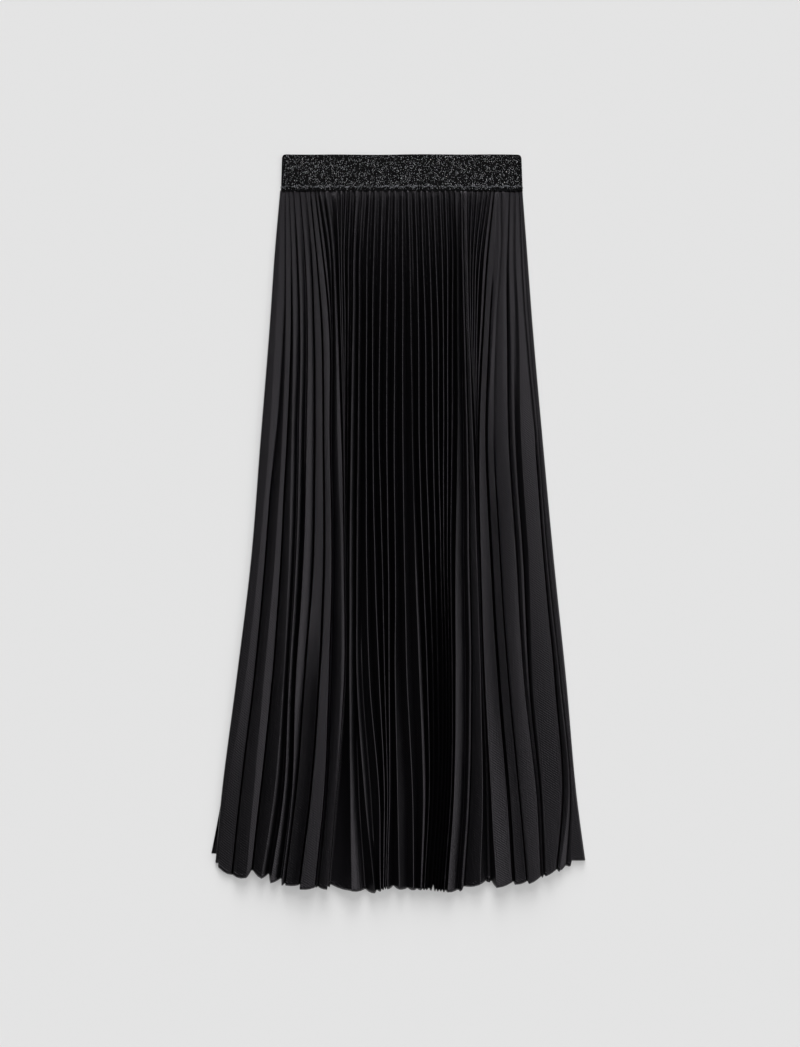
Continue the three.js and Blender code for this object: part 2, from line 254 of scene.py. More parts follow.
# Ridge places at each level, then how far down the ridge and the valley to its right end. The short
# ridges start evenly at the seam with the rest and sink into the groove between two long ones.
RIDGES = {
    "left_1": (-157.5, -160.5, -165.5, -174, -188, -206, -231, -243, 901, 912),
    "left_2": (-152.5, -152.5, -152, -157, -167, -181, -195.5, -204, 915, 906),
    "left_3": (-147, -144.5, -142.5, -144, -148, -155, -168, -183.5, 916, 911),
    "left_4": (-140.3, -135.7, -132.3, -134, -138, -147, -155.5, -170, 922, 917),
    "left_5": (-131.7, -126, -122.4, -124, -128, -138, -144, -155, 925, 923),
    "left_6": (-123.7, -117.2, -113.3, -112, -114, -126, -138, -150, 925, 924),
    "left_7": (-117, -110.4, -103, -100, -99, -106, -118, -130, 930, 928),
    "short_1": (-110.4, -102, -92.5, -91.6, -88.9, -92.8, -99.6, -109, 928, 927),
    "short_2": (-104.4, -94.5, -90, -91.1, -88.4, -92.3, -99.1, -108.5, 928, 927),
    "left_8": (-96.4, -88.8, -85.5, -83, -78, -78.5, -87, -95, 930, 926),
    "short_3": (-84.5, -81.5, -79, -75.2, -73, -72.6, -85.6, -93.6, 928, 925),
    "short_4": (-78.5, -78.3, -76.5, -74.8, -72.6, -72.2, -85.2, -93.2, 928, 925),
    "short_5": (-72.5, -74.5, -73.2, -74.3, -72.2, -71.8, -84.8, -92.8, 928, 925),
    "short_6": (-66.5, -68.9, -68.9, -69.8, -71.8, -71.4, -84.4, -92.4, 928, 925),
    "left_9": (-58.5, -61.8, -62.5, -65.2, -67, -67, -66, -65, 932, 931),
    "left_10": (-50.5, -54.1, -54.5, -55.8, -57.5, -57, -46, -36.5, 935, 932),
    "middle_1": (-41.2, -44, -44.5, -45.5, -44.5, -40.5, -28, -26.5, 933, 930),
    "middle_2": (-33.3, -35, -36.5, -36.5, -33.5, -28, -21, -22, 931, 928),
    "middle_3": (-24, -25.7, -27, -28, -24, -20.5, -17, -19, 930, 927),
    "middle_4": (-14.6, -16.4, -17.5, -18, -15.5, -15, -14, -16, 930, 926),
    "middle_5": (-6.7, -6.8, -7, -8, -6.5, -6.5, -3, -1.5, 930, 929),
    "middle_6": (2.7, 2.9, 3.5, 3.5, 5.5, 9.5, 16.5, 17.5, 931, 930),
    "middle_7": (10.6, 12.5, 14, 16.5, 20, 26, 31, 28, 931, 930),
    "middle_8": (20, 22, 24, 25.5, 30, 36, 38.5, 33, 931, 930),
    "middle_9": (28, 30.2, 33, 34.5, 39, 43, 43, 37, 931, 929),
    "middle_10": (36, 39, 42, 43.5, 47, 50, 49.5, 43, 932, 924),
    "middle_11": (44, 47, 50, 51, 54, 56.5, 54.5, 48, 933, 930),
    "middle_12": (53, 55.7, 57, 57.5, 58, 61, 59, 52, 933, 931),
    "middle_13": (60.5, 62.6, 63, 63, 62.5, 65, 63, 56, 933, 931),
    "middle_14": (67.8, 69.6, 69.3, 68.5, 67, 69, 67, 60, 934, 932),
    "middle_15": (74, 76, 76.3, 76.5, 74, 74, 71.5, 65, 934, 932),
    "right_1": (81.8, 82.8, 84.8, 88.8, 90, 92.5, 89.5, 83, 932, 927),
    "right_2": (88, 88.8, 91, 96.5, 101.5, 106.5, 109, 106.5, 924, 917),
    "short_7": (95.5, 93.3, 93.8, 100.8, 104.3, 109.3, 116, 118, 922, 918),
    "short_8": (102, 97.7, 96.3, 101.2, 104.6, 109.6, 116.4, 118.4, 922, 918),
    "short_9": (109.3, 101.8, 99.2, 101.6, 104.9, 109.9, 116.8, 118.8, 922, 918),
    "short_10": (116, 107, 102.5, 102, 105.2, 110.2, 117.2, 119.2, 922, 918),
    "short_11": (120.5, 112.8, 107.2, 102.6, 105.5, 110.5, 117.6, 119.6, 922, 918),
    "right_3": (125.7, 118.8, 112.6, 105.7, 108, 113, 121.5, 127, 928, 921),
    "right_4": (131, 131.5, 124.5, 117, 123.5, 133.5, 146.5, 152.5, 924, 920),
    "right_5": (137, 136.5, 131, 129, 137, 147.5, 162, 171, 923, 914),
    "right_6": (147, 145.3, 147, 150, 160.5, 169, 186, 190, 915, 912),
    "right_7": (154.5, 154.3, 158, 161, 171, 176, 189.5, 194, 913, 905),
    "right_8": (160.5, 162.5, 168, 183, 194.5, 211.5, 224, 212, 907, 900),
    "right_9": (162.6, 166.5, 172.8, 186, 199, 215.5, 229, 227, 900, 893),
}
SIDES = {
    "left": (-160.9, -166.7, -173.2, -186, -198.7, -218.2, -238.5, -247),
    "right": (164.2, 169.2, 176.2, 190.2, 205, 221.5, 236, 249),
}
SIDE_ENDS = {"left": 892, "right": 886}

# How each pleat lies. Valley: its share of the way to the next ridge. Rise: ridge height as a share of
# the full one. Depth: how far the valley sinks. Then four tilts in degrees, more for a face turned right:
# beside the ridge and at the foot, first of the face that falls right of this ridge, then of the one that
# climbs to the next. A WALL drops straight into the groove. TILT_LEVELS and RISE_LEVELS give the levels
# that a list of two to five values stands for. The valleys in OPENS only open between the two levels
# given, and above them keep a share of their depth.
WALL = 90
CREST_LEFT = ((-64, -64), (-WALL, -WALL))
FACES = {
    "left_1": ((0.92, 0.38, 0.48, 0.51), (0.95, 0.75), 1.0,
        (11, 18, 12, 0), (13, 20, 12, 3), (-40, -9, -5, -3), (-60, -32, -24, -14)),
    "left_2": ((0.90, 0.46, 0.46, 0.33), (0.95, 1.00), 1.0,
        (11, 15, 14, 12), (13, 18, 16, 17), (-60, -8, -6, -12), (-60, -33, -28, -29)),
    "left_3": ((0.80, 0.85, 0.85, 0.70), (0.90, 1.00), 1.0, (12, 20, 24, 16), (24, 74, 74, 66), *CREST_LEFT),
    "left_4": ((0.82, 0.80, 0.88), (1.00, 0.90), 1.0, (22, 16, 18), (62, 62, 64), *CREST_LEFT),
    "left_5": ((0.90, 0.90, 0.85), (1.00, 1.00), 1.0, (13, 12, 20), (42, 42, 66), *CREST_LEFT),
    "left_6": ((0.85, 0.88, 0.88, 0.93, 0.93), (0.90, 0.72), 1.0,
        (4, 3, 15, 0, -2), (16, 16, 5, -28, -34), *CREST_LEFT),
    "left_7": ((0.85, 0.94, 0.94, 0.94), (1.00, 1.05), 1.0, (4, 0, 11, 6), (30, 13, 9, 8), *CREST_LEFT),
    "short_1": ((0.50, 0.50), (0.90, 0.45, 0.05, 0.0), 1.0, (14, 10), (40, 40), (-20, -20), (-50, -50)),
    "short_2": ((0.50, 0.06, 0.06, 0.05), (0.90, 0.25, 0.05, 0.0), 1.0,
        (14, 10), (50, 50), (-15, -4, -4, 2), (-45, -40, -40, -26)),
    "left_8": ((0.45, 0.88, 0.88, 0.50), (1.00, 1.20), 1.0, (24, 14, 2, 0), (56, 8, 30, 30), *CREST_LEFT),
    "short_3": ((0.50, 0.50), (0.95, 0.85, 0.45, 0.0), 1.0, (20, 30), (WALL, WALL), *CREST_LEFT),
    "short_4": ((0.50, 0.50), (0.90, 0.80, 0.40, 0.0), 1.0, (20, 30), (WALL, WALL), *CREST_LEFT),
    "short_5": ((0.50, 0.50), (1.05, 0.85, 0.45, 0.0), 1.0, (24, 30), (WALL, WALL), *CREST_LEFT),
    "short_6": ((0.50, 0.15, 0.10, 0.03), (1.15, 1.10, 0.75, 0.1), 1.0,
        (24, 20), (70, 60), (-64, -64, -64, -46), (-80, -80, -80, -24)),
    "left_9": ((0.80, 0.82, 0.62), (1.10, 1.05), 1.0, (22, 20, 17), (64, 58, 74), *CREST_LEFT),
    "left_10": ((0.50, 0.45), (1.00, 1.00), 1.0, (30, 24), (68, 76), *CREST_LEFT),
    "middle_1": ((0.50, 0.50), (1.00, 0.90), 1.0, (18, 18), (WALL, WALL), *CREST_LEFT),
    "middle_2": ((0.50, 0.50), (0.95, 0.95), 1.0, (26, 26), (WALL, WALL), *CREST_LEFT),
    "middle_3": ((0.50, 0.50), (0.90, 0.90), 1.0, (32, 32), (WALL, WALL), *CREST_LEFT),
    "middle_4": ((0.50, 0.50), (1.00, 0.95), 1.0, (20, 30), (WALL, WALL), *CREST_LEFT),
    "middle_5": ((0.50, 0.60), (1.00, 1.00), 1.0, (28, 22), (WALL, WALL), *CREST_LEFT),
    "middle_6": ((0.50, 0.50), (1.00, 0.95), 1.0, (26, 22), (WALL, WALL), *CREST_LEFT),
    "middle_7": ((0.50, 0.50), (0.95, 0.95), 0.8, (26, 12), (72, 40), *CREST_LEFT),
    "middle_8": ((0.50, 0.50), (1.00, 0.90), 1.0, (24, 40), (WALL, WALL), *CREST_LEFT),
    "middle_9": ((0.50, 0.50), (0.95, 0.85), 1.0, (24, 66), (WALL, WALL), *CREST_LEFT),
    "middle_10": ((0.50, 0.50), (0.90, 0.85), 1.0, (26, 72), (WALL, WALL), *CREST_LEFT),
    "middle_11": ((0.50, 0.50), (0.95, 0.80), 1.0, (28, 72), (WALL, WALL), *CREST_LEFT),
    "middle_12": ((0.50, 0.50), (0.90, 0.85), 1.0, (28, 72), (WALL, WALL), *CREST_LEFT),
    "middle_13": ((0.50, 0.50), (0.95, 0.80), 1.0, (28, 68), (WALL, WALL), *CREST_LEFT),
    "middle_14": ((0.50, 0.50), (0.95, 0.90), 1.0, (22, 26), (72, 72), *CREST_LEFT),
    "middle_15": ((0.75, 0.75, 0.80), (0.90, 0.85), 1.0, (46, 46), (62, 66), (-10, -12), (-62, -60)),
    "right_1": ((0.25, 0.15), (0.85, 0.70), 0.35, (12, 6), (40, 40), (-7, -9), (-26, -28)),
    "right_2": ((0.50, 0.90, 0.90, 0.90), (0.95, 0.85), 1.0, (16, 14), (WALL, WALL), *CREST_LEFT),
    "short_7": ((0.50, 0.50), (0.90, 0.75, 0.35, 0.0), 1.0, (14, 20), (WALL, WALL), *CREST_LEFT),
    "short_8": ((0.50, 0.50), (0.90, 0.75, 0.35, 0.0), 1.0, (14, 20), (WALL, WALL), *CREST_LEFT),
    "short_9": ((0.50, 0.50), (0.95, 0.75, 0.35, 0.0), 1.0, (22, 20), (WALL, WALL), *CREST_LEFT),
    "short_10": ((0.55, 0.50), (1.05, 0.85, 0.40, 0.0), 1.0, (20, 20), (WALL, WALL), *CREST_LEFT),
    "short_11": ((0.70, 0.12, 0.12, 0.12), (1.10, 1.10, 0.60, 0.0), 1.0, (16, 18), (40, 50), *CREST_LEFT),
    "right_3": ((0.60, 0.84, 0.88, 0.88), (0.95, 1.05), 1.0,
        (4, 18, 13, 12), (8, -2, -10, 6), (-4, -64, -64, -64), (-6, -80, -80, -80)),
    "right_4": ((0.50, 0.75, 0.80, 0.85), (0.90, 0.75), 0.8,
        (24, -4, -8, 2), (44, -8, -8, -8), (-14, -10, -10, -6), (-30, -14, -20, -20)),
    "right_5": ((0.78, 0.78, 0.84, 0.88), (0.90, 0.80), 0.9,
        (-8, -8, -6, 1), (30, 7, 14, 8), (-30, -20, -20, -16), (-40, -26, -32, -32)),
    "right_6": ((0.62, 0.35, 0.50, 0.50), (0.85, 0.55, 0.1), 0.9,
        (14, 2, 8, 10), (20, 10, 20, 24), (-16, -32, -22, -20), (-30, -42, -36, -30)),
    "right_7": ((0.85, 0.90, 0.87, 0.78), (0.95, 0.80), 1.0,
        (18, 6, -2, 0), (22, 12, 6, 2), (-12, -12, -10, -6), (-26, -26, -26, -28)),
    "right_8": ((0.50, 0.50, 0.55, 0.60), (0.85, 0.70), 0.3,
        (18, 6, 10, 16), (22, 10, 14, 20), (-4, -4, -5, -6), (-14, -14, -17, -20)),
    "right_9": ((0.50, 0.50), (0.80, 0.65), 1.0, (18, 5, 8, 12), (20, 10, 12, 16), (0, 0), (0, 0)),
}
TILT_LEVELS = {2: [400, 812], 3: [400, 640, 812], 4: [120, 400, 640, 812], 5: [120, 400, 575, 655, 812]}
RISE_LEVELS = {2: [0, 700], 3: [60, 400, 700], 4: [60, 150, 300, 500]}
OPENS = {
    "left_1": (250, 450, 0.0),
    "left_2": (70, 190, 0.0),
    "left_3": (40, 110, 0.0),
    "right_3": (110, 200, 0.0),
    "right_4": (330, 520, 0.1),
    "right_5": (90, 200, 0.25),
    "right_6": (250, 380, 0.12),
    "right_7": (300, 430, 0.0),
    "right_8": (330, 480, 0.0),
}
GROOVE, GROOVE_SHARE = 1.5, 0.3
# The walls of a shut pleat stand closer than the cloth is thick, so their lower ends cross.
SHUT_GROOVE, SEAM_GROOVE, SEAM_GROOVE_REACH = 0.05, 0.8, 70
NARROWEST_FACE, NARROWEST_SHARE = 0.8, 0.4
VALLEY_PROFILE = ((0.8, 0.75), (0.12, 0.08))
SHOULDER_RIGHT, SHOULDER_LEFT = 0.6, 0.25
SEAM_CREST, SEAM_CREST_REACH, CREST_SHARE = 0.4, 45, 0.35
SEAM_FLAT, SEAM_FLAT_REACH = 0.7, 60
FACE_CLEARANCE, FLOOR_CLEARANCE = 0.2, 0.4
STEEPEST_TILT = 80
SEAM_LAYER, HEM_LAYER, LAYER_REACH = 1.9, 8.1, 150
SEAM_RISE, HEM_RISE, RISE_REACH = 3.6, 11.6, 170
SEAM_PRESS, SEAM_PRESS_REACH = 0.5, 6
SIDE_LAYER, SIDE_RISE = (0.4, 70), (0.5, 90)  # least share at a side fold, and reach of the fold
SIDE_ROLL, SIDE_ROLL_SHARE, SIDE_DIP = 2.0, 0.35, 0.15
WANDER_WAVES, WANDER_FADE, FULL_TURN = 4, 60, 6.28
CLOTH = 0.35
SEAM_ROWS, FIRST_BODY_ROW = (0, 3, 7, 12, 18), 26
HEM_TURN, HEM_MARGIN = 5.2, 2
HEM_ROWS = (HEM_TURN, HEM_TURN - 0.8, 3.6, 2.9, 2.1, 1.0, 0)
HEM_THICKNESS = (0.5, 0.42, 0.45, 0.5, 0.5, 0.45)
HEM_BOW = 0.06
HEM_EDGE = (0, 1.0, 2.1, 3.2, 5.2), (-3.4, -1.8, -0.4, 0.15, 0)
drops = np.arange(0, 967, 6.0)  # distances from the seam at which every fold is worked out


def along(levels, values, at):
    """A smooth line down the skirt through one value at each level, straight past both ends."""
    levels, values = np.asarray(levels, float), np.asarray(values, float)
    slopes = np.gradient(values, levels)
    slot = np.clip(np.searchsorted(levels, at, side="right") - 1, 0, len(levels) - 2)
    span = levels[slot + 1] - levels[slot]
    t = np.clip((at - levels[slot]) / span, 0, 1)
    start, end = slopes[slot] * span, slopes[slot + 1] * span
    bend = start * t * (1 - t) ** 2 - end * t * t * (1 - t)
    line = values[slot] * (1 + 2 * t) * (1 - t) ** 2 + values[slot + 1] * t * t * (3 - 2 * t)
    beyond = np.maximum(at - levels[-1], 0) * slopes[-1] - np.maximum(levels[0] - at, 0) * slopes[0]
    return line + bend + beyond


def open_out(seam, hem, reach):
    """Grows from the seam to the hem, fast over the first hand's breadth."""
    return hem + (seam - hem) * np.exp(-drops / reach)


def wander(seed, size, longest):
    """A slow hand-laid unevenness down the length, fading out at the waist seam."""
    draw = random.Random(seed)
    total = np.zeros_like(drops)
    for part in range(1, WANDER_WAVES + 1):
        wave = np.sin(drops * 2 * math.pi * part / longest + draw.uniform(0, FULL_TURN))
        total += wave * draw.uniform(0.4, 1) / part
    return total * size * np.minimum(1, drops / WANDER_FADE)


def vary(values, levels=TILT_LEVELS):
    return np.interp(drops, levels[len(values)], values)


def face(ridge_x, ridge_z, foot_x, floor_z, tilts, shoulder):
    """Points down one face of a pleat, from beside its ridge to its foot: x, z and share of the way."""
    run = foot_x - ridge_x
    room = ridge_z - floor_z - FACE_CLEARANCE
    beside, foot = [
        np.tan(np.radians(np.clip(vary(values), -STEEPEST_TILT, STEEPEST_TILT))) for values in tilts
    ]
    if abs(tilts[1][0]) == WALL:
        crest = shoulder + SEAM_CREST * np.exp(-drops / SEAM_CREST_REACH)
        start = np.minimum(crest, CREST_SHARE * np.abs(run)) * np.sign(run)
        flatness = 1 - SEAM_FLAT * np.exp(-drops / SEAM_FLAT_REACH)
        start_z = ridge_z - np.minimum(start * beside * flatness, 0.5 * room)
        points = [(ridge_x + start, start_z, 0.1)]
        for share in (0.3, 0.65, 1):
            x = ridge_x + start + (run - start) * share
            points.append((x, start_z + (floor_z + FACE_CLEARANCE - start_z) * share, share))
        return points
    fall = run * (beside + foot) / 2
    ease = np.where(fall > room, room / np.maximum(fall, 1e-6), 1)
    points = []
    for share in (np.clip(shoulder / np.maximum(np.abs(run), 0.1), 0, 0.3), 0.4, 0.7, 1):
        drop_z = run * ease * (beside * share + (foot - beside) * share * share / 2)
        points.append((ridge_x + run * share, ridge_z - drop_z, np.mean(share)))
    return points


left_edge = along(LEVELS, SIDES["left"], drops)
right_edge = along(LEVELS, SIDES["right"], drops)


def side_ease(x, least, reach):
    """The skirt lies thinner towards its side folds: from the least share there to 1 further in."""
    inward = np.clip(np.minimum(x - left_edge, right_edge - x) / reach, 0, 1)
    return least + (1 - least) * inward * inward * (3 - 2 * inward)


layer_height = open_out(SEAM_LAYER, HEM_LAYER, LAYER_REACH)
full_rise = open_out(SEAM_RISE, HEM_RISE, RISE_REACH) * (1 - SEAM_PRESS * np.exp(-drops / SEAM_PRESS_REACH))


def floor_at(x):
    """Height of the valleys of the front, just clear of the back panel under them."""
    return layer_height * side_ease(x, *SIDE_LAYER) + FLOOR_CLEARANCE


names = list(RIDGES)
ridge_x, ridge_z = [], []
for index, name in enumerate(names):
    place = along(LEVELS, RIDGES[name][:8], drops) + wander(index, size=0.25, longest=420)
    rise = vary(FACES[name][1], RISE_LEVELS) + wander(100 + index, size=0.025, longest=300)
    ridge_x.append(place)
    ridge_z.append(floor_at(place) + full_rise * rise * side_ease(place, *SIDE_RISE))

columns, sharp_columns = [], []


def add_column(x, z, end):
    columns.append((x, z, end))


def side_fold(edge_x, ridge_x, ridge_z):
    """The cloth rolls over at the side seam and lies flat up to the first ridge. From the seam inwards."""
    width = ridge_x - edge_x
    reach = np.sign(width) * np.minimum(np.abs(width) * SIDE_ROLL_SHARE, SIDE_ROLL)
    seam_z = floor_at(edge_x) - FACE_CLEARANCE
    top_z = ridge_z - SIDE_DIP
    points = []
    for turn in np.radians([0, 30, 60, 85]):
        points.append((edge_x + reach * (1 - math.cos(turn)), seam_z + (top_z - seam_z) * math.sin(turn)))
    start_x, start_z = points[-1]
    for share in (0.08, 0.5, 0.92):
        points.append((start_x + (ridge_x - start_x) * share, start_z + (ridge_z - start_z) * share))
    return points


for x, z in side_fold(left_edge, ridge_x[0], ridge_z[0]):
    add_column(x, z, SIDE_ENDS["left"] + (RIDGES[names[0]][8] - SIDE_ENDS["left"]) * 0.5)
for index, name in enumerate(names):
    valley, _, depth, right, right_foot, left, left_foot = FACES[name]
    ridge_end, valley_end = RIDGES[name][8:]
    add_column(ridge_x[index], ridge_z[index], ridge_end)
    if index == len(names) - 1:
        break
    next_x, next_z, next_end = ridge_x[index + 1], ridge_z[index + 1], RIDGES[names[index + 1]][8]
    gap = next_x - ridge_x[index]
    least = np.minimum(NARROWEST_FACE, NARROWEST_SHARE * gap)
    valley_x = ridge_x[index] + np.clip(vary(valley) * gap, least, gap - least)
    floor_z = floor_at(valley_x)
    shut_groove = SHUT_GROOVE + SEAM_GROOVE * np.exp(-drops / SEAM_GROOVE_REACH)
    widths = [shut_groove if abs(foot[0]) == WALL else GROOVE for foot in (right_foot, left_foot)]
    groove_right = np.minimum(widths[0], GROOVE_SHARE * (valley_x - ridge_x[index]))
    groove_left = np.minimum(widths[1], GROOVE_SHARE * np.abs(next_x - valley_x))
    shut = abs(right_foot[0]) == WALL and abs(left_foot[0]) == WALL
    down = face(
        ridge_x[index], ridge_z[index], valley_x - groove_right, floor_z, (right, right_foot), SHOULDER_RIGHT
    )
    climb = face(next_x, next_z, valley_x + groove_left, floor_z, (left, left_foot), SHOULDER_LEFT)
    brow_right, brow_left = down[-1][1], climb[-1][1]
    if name in OPENS:
        start, full, least_depth = OPENS[name]
        depth = depth * np.interp(drops, (start, full), (least_depth, 1))
    valley_z = floor_z + (np.minimum(brow_right, brow_left) - floor_z) * (1 - depth)
    if abs(right_foot[0]) == WALL:
        sharp_columns.extend([len(columns) - 1, len(columns)])
    bow = HEM_BOW * np.interp(LEVELS[-1], drops, np.abs(gap)) * 4
    for x, z, share in down:
        add_column(x, z, ridge_end + (valley_end - ridge_end) * share + bow * share * (1 - share))
    sharp_columns.append(len(columns) - 1)
    if not shut:
        for out, up in VALLEY_PROFILE:
            add_column(valley_x - out * groove_right, valley_z + up * (brow_right - valley_z), valley_end)
        add_column(valley_x, valley_z, valley_end)
        for out, up in reversed(VALLEY_PROFILE):
            add_column(valley_x + out * groove_left, valley_z + up * (brow_left - valley_z), valley_end)
    sharp_columns.append(len(columns))
    for x, z, share in reversed(climb):
        add_column(x, z, next_end + (valley_end - next_end) * share + bow * share * (1 - share))
    if abs(left_foot[0]) == WALL:
        sharp_columns.extend([len(columns) - 1, len(columns)])
for x, z in reversed(side_fold(right_edge, ridge_x[-1], ridge_z[-1])):
    add_column(x, z, SIDE_ENDS["right"] + (RIDGES[names[-1]][8] - SIDE_ENDS["right"]) * 0.5)


def sheet_rows(columns, step):
    """Middle of the cloth as rows of points down the panel, with finer rows at the waist and the hem."""
    shortest = min(end for _, _, end in columns) - HEM_TURN - HEM_MARGIN
    count = int((shortest - FIRST_BODY_ROW) / step)
    body_rows = [*SEAM_ROWS, *np.linspace(FIRST_BODY_ROW, shortest, count)]
    rows = []
    for place in body_rows:
        share = place / shortest
        rows.append([share * (end - HEM_TURN - HEM_MARGIN) for _, _, end in columns])
    rows += [[end - back for _, _, end in columns] for back in HEM_ROWS]
    rows = np.array(rows)
    points = np.empty((*rows.shape, 3))
    for number, (x, z, _) in enumerate(columns):
        points[:, number, 0] = np.interp(rows[:, number], drops, x)
        points[:, number, 1] = SEAM_Y - rows[:, number]
        points[:, number, 2] = np.interp(rows[:, number], drops, z)
    last = points[-len(HEM_ROWS) :, :, 2]
    last += np.interp(HEM_ROWS, *HEM_EDGE)[:, None] * np.clip(last / 3 - 0.3, 0, 1)
    thickness = np.full(len(rows), CLOTH)
    thickness[-len(HEM_THICKNESS) :] = HEM_THICKNESS
    points[..., 2] += (thickness[:, None] - CLOTH) / 2
    return points, thickness


def cloth_shell(name, points, thickness, material, sharp_columns=()):
    """A thin closed shell either side of the rows of points, with the developed cloth as its UV map."""
    down = np.gradient(points, axis=0)
    side = np.gradient(points, axis=1)
    square = np.cross(down, side)
    square /= np.linalg.norm(square, axis=2, keepdims=True)
    offset = square * thickness[:, None, None] / 2
    steps = np.linalg.norm(np.diff(points, axis=1), axis=2)
    arc = np.concatenate([np.zeros((len(points), 1)), np.cumsum(steps, axis=1)], axis=1)
    arc = (arc / arc[:, -1:] - 0.5) * arc[:, -1].mean()
    rows, count = points.shape[:2]
    verts = np.concatenate([(points + offset).reshape(-1, 3), (points - offset).reshape(-1, 3)]) * MM
    verts[:, 2] = np.maximum(verts[:, 2], 0)
    developed = np.stack([arc, SEAM_Y - points[..., 1]], axis=2).reshape(-1, 2) * MM
    grid = np.arange(rows * count).reshape(rows, count)
    a, b, c, d = grid[:-1, :-1], grid[1:, :-1], grid[1:, 1:], grid[:-1, 1:]
    upper = np.stack([a, b, c, d], axis=2).reshape(-1, 4)
    lower = np.stack([a, d, c, b], axis=2).reshape(-1, 4) + rows * count
    ring = np.concatenate([grid[0], grid[1:, -1], grid[-1, -2::-1], grid[-2:0:-1, 0]])
    after = np.roll(ring, -1)
    rim = np.stack([ring, after, after + rows * count, ring + rows * count], axis=1)
    quads = np.concatenate([upper, lower, rim])
    mesh = bpy.data.meshes.new(name)
    mesh.from_pydata(verts.tolist(), [], quads.tolist())
    mesh.materials.append(material)
    mesh.shade_smooth()
    ends = np.empty(2 * len(mesh.edges), dtype=np.int64)
    mesh.edges.foreach_get("vertices", ends)
    start, finish = np.sort(ends.reshape(-1, 2) % (rows * count), axis=1).T
    hard = (finish - start == count) & np.isin(start % count, sharp_columns)
    mesh.attributes.new("sharp_edge", "BOOLEAN", "EDGE").data.foreach_set("value", hard)
    layer = mesh.uv_layers.new(name="weave")
    corners = np.empty(len(mesh.loops), dtype=np.int64)
    mesh.loops.foreach_get("vertex_index", corners)
    layer.data.foreach_set("uv", developed[corners % (rows * count)].reshape(-1))
    piece = bpy.data.objects.new(name, mesh)
    bpy.context.collection.objects.link(piece)
    return piece


points, thickness = sheet_rows(columns, step=13)
front = cloth_shell("front_panel", points, thickness, satin, sharp_columns)
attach(front, "root")
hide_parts("skirt_front")


# Back panel. The same satin in the same accordion pleats, lying under the front with its pressed ridges
# on the table. The two panels are sewn together down both side folds, and the back hem ends higher.
BACK_PLEATS = 30
BACK_SWAY = 0.3
BACK_SIDES = {
    "left": (-158.5, -164.8, -171.5, -184.5, -197.5, -216.5, -238, -256),
    "right": (162.5, 167.5, 174.5, 188.5, 203.5, 219.5, 234, 247),
}
BACK_END, BACK_SIDE_RISE, BACK_HALF_WIDTH, BACK_HEM_CURVE = 925, 41, 248, 3.6
BACK_VALLEY_LIFT = 5
CREASE_HALF_WIDTH, CREASE_BLUNT = 0.8, 0.25
UNDER_GAP, TABLE_CLEARANCE = 0.6, 0.03
BACK_EDGE_FOLD = 2.2

back_left = along(LEVELS, BACK_SIDES["left"], drops)
back_right = along(LEVELS, BACK_SIDES["right"], drops)


def back_fold(x, z, lift):
    """One fold of the back: its place, its height and how far down the panel it ends."""
    outward = min(1, abs(np.interp(LEVELS[-1], drops, x)) / BACK_HALF_WIDTH)
    return x, np.broadcast_to(z, drops.shape), BACK_END - BACK_SIDE_RISE * outward**BACK_HEM_CURVE - lift


draw = random.Random(30)
on_table = CLOTH / 2 + TABLE_CLEARANCE
shares = [(index + 0.5 + draw.uniform(-BACK_SWAY, BACK_SWAY)) / BACK_PLEATS for index in range(BACK_PLEATS)]
folds = []
for index, share in enumerate(shares):
    x = back_left + (back_right - back_left) * share + wander(200 + index, size=0.5, longest=520)
    folds.append(back_fold(x, on_table, 0))
    if index < BACK_PLEATS - 1:
        inner_share = share + (shares[index + 1] - share) * draw.uniform(0.35, 0.65)
        x = back_left + (back_right - back_left) * inner_share
        x = x + wander(300 + index, size=0.4, longest=470)
        folds.append(back_fold(x, layer_height * side_ease(x, *SIDE_LAYER) - UNDER_GAP, BACK_VALLEY_LIFT))
edge_height = layer_height * side_ease(back_left, *SIDE_LAYER) - UNDER_GAP
folds.insert(0, back_fold(back_left + BACK_EDGE_FOLD, on_table, 0))
folds.insert(0, back_fold(back_left, edge_height, 0))
folds.append(back_fold(back_right - BACK_EDGE_FOLD, on_table, 0))
folds.append(back_fold(back_right, edge_height, 0))

columns = []
for (x, z, end), (next_x, next_z, next_end) in zip(folds, folds[1:]):
    width = np.maximum(next_x - x, 0.2)
    crease_share = np.minimum(CREASE_HALF_WIDTH / width, 0.3)
    columns.append((x, z + CREASE_BLUNT * np.sign(next_z - z), end))
    for part in (crease_share, 0.35, 0.65, 1 - crease_share):
        columns.append((x + width * part, z + (next_z - z) * part, end + (next_end - end) * np.mean(part)))
columns.append(folds[-1])

points, thickness = sheet_rows(columns, step=16)
back = cloth_shell("back_panel", points, thickness, satin)
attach(back, "root")
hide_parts("skirt_back")


# Waistband. A loop of wide elastic, rib-knitted from black yarn and a flat metallised thread, and laid
# flat in two layers. Its lower edge laps over the pleats, where a row of stitches holds it.
band_box = [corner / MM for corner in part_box("waistband")]
BAND_LEFT, BAND_RIGHT = band_box[0].x, band_box[1].x
BAND_DEPTH = band_box[1].z
BAND_FOOT, BAND_TOP = 442.9, 491.8
BAND_HEIGHT = BAND_TOP - BAND_FOOT
BAND_WALL = 1.4
RING_STEP = 1.4
GROUND_HEIGHTS = (0, 0.8, 2.2, 3.6, *range(6, 44, 3), BAND_HEIGHT - 3)
TOP_ROUND = ((1.2, 0.05), (0.5, 0.25), (0, 0.6))  # distance below the top edge, and how far it eases in
TOP_SET_BACK, LEAST_HEIGHT = 0.2, 0.02
RIB_PITCH, RIB_WIDTH, RIB_DEPTH = 2.8, 2.3, 0.9
RIB_LEVELS, RIB_SIDES = 17, 6
TOP_WAVE, TOP_WAVE_LENGTH, TOP_SWELL_LENGTH = 0.45, 145, 380
CORNER_REACH, CORNER_INSET = 3.5, 1.3
